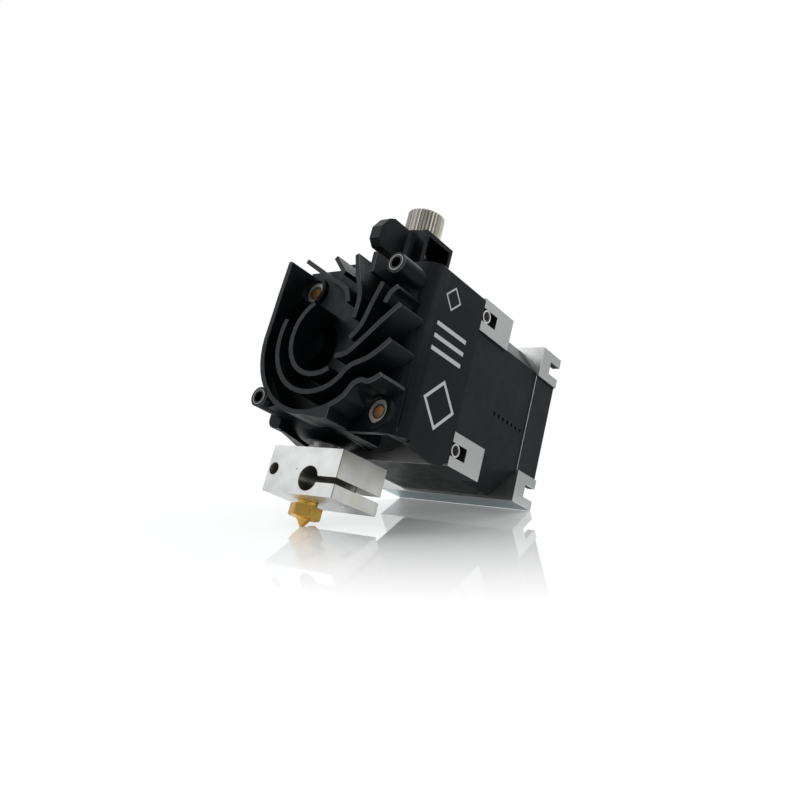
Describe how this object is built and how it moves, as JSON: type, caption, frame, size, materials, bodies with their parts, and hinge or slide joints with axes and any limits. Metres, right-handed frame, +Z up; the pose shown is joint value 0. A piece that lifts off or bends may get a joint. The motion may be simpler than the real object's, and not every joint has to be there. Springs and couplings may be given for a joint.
{
  "type": "hotend assembly",
  "caption": "Direct-drive hotend: geared filament feeder on a stepper motor, black vaned heatsink, thumb-wheel tensioned idler lever, aluminium heater block and brass nozzle.",
  "frame": {"origin": "the nozzle's tip, where the filament comes out", "axes": "+Z up along the filament path, -Y towards the vaned front, +Y along the motor axis towards the rear cap, +X to the right seen from the front"},
  "size_m": [0.0455, 0.0664, 0.0817],
  "materials": {
    "black_anodised": "satin black hard-anodised cast aluminium",
    "black_paint": "satin black paint with machined pads left bare",
    "stack_paint": "matt black painted steel laminations",
    "black_nylon": "moulded black nylon, fine grain",
    "bright_screw": "nickel plated steel socket screw",
    "steel": "ground steel",
    "insert_steel": "plated steel thread insert",
    "aluminium": "satin machined aluminium",
    "brass": "turned brass",
    "knurled_nickel": "nickel plated, straight knurl",
    "copper": "enamelled copper windings",
    "connector_nylon": "natural nylon",
    "gold_pins": "tin and gold plated pins",
    "spring_steel": "spring steel wire",
    "ptfe": "white PTFE",
    "acetal": "black acetal"
  },
  "bodies": {
    "housing": {"heatsink_body": "black_anodised", "heatsink_screws": "bright_screw", "post_inserts": "insert_steel", "motor_front_plate": "black_paint", "slot_nuts": "bright_screw", "stator_stack": "stack_paint", "stator_windings": "copper", "rear_cap": "black_paint", "tie_screws": "steel", "motor_connector": "connector_nylon", "connector_pins": "gold_pins", "front_bearing": "steel", "rear_bearing": "steel", "wave_washer": "spring_steel", "drive_front_bearing": "steel", "drive_rear_bearing": "steel", "tension_spring": "spring_steel", "filament_guide": "acetal", "ptfe_liner": "ptfe", "heatbreak": "steel", "heater_block": "aluminium", "nozzle": "brass", "clamp_screw": "steel", "sensor_screw": "steel"},
    "motor_rotor": {"rotor": "steel", "motor_shaft": "steel", "pinion": "brass"},
    "drive": {"drive_gear": "acetal", "hobbed_shaft": "steel"},
    "lever": {"idler_lever": "black_nylon", "idler_axle": "steel"},
    "idler": {"idler_wheel": "steel"},
    "tension_seat": {"spring_seat": "steel"},
    "tension_wheel": {"thumb_wheel": "knurled_nickel", "tension_screw": "steel"}
  },
  "joints": [
    {"name": "motor_spin", "type": "hinge", "parent": "housing", "child": "motor_rotor", "pos_m": [0.01, 0.0085, 0.041], "axis": [0, 1, 0], "continuous": true},
    {"name": "drive_spin", "type": "hinge", "parent": "housing", "child": "drive", "pos_m": [0.00435, 0.0085, 0.05067], "axis": [0, 1, 0], "continuous": true},
    {"name": "lever_pivot", "type": "hinge", "parent": "housing", "child": "lever", "pos_m": [-0.0055, 0.0085, 0.0565], "axis": [0, 1, 0], "range_deg": [0, 6], "stiffness_Nm_per_rad": 1.1, "springref_deg": -20.05, "deforming": ["tension_spring"]},
    {"name": "idler_spin", "type": "hinge", "parent": "lever", "child": "idler", "pos_m": [-0.00487, 0.0085, 0.05067], "axis": [0, 1, 0], "continuous": true},
    {"name": "tension_travel", "type": "slide", "parent": "lever", "child": "tension_seat", "axis": [0, 0, -1], "range_m": [-0.00102, 0.00102], "deforming": ["tension_spring"]},
    {"name": "tension_turn", "type": "hinge", "parent": "tension_seat", "child": "tension_wheel", "pos_m": [0.014, 0, 0.071], "axis": [0, 0, -1], "range_deg": [-720, 720]}
  ],
  "couplings": [
    {"joint": "drive_spin", "follows": "motor_spin", "ratio": -0.33333},
    {"joint": "tension_travel", "follows": "tension_turn", "m_per_rad": 0.000079577}
  ]
}
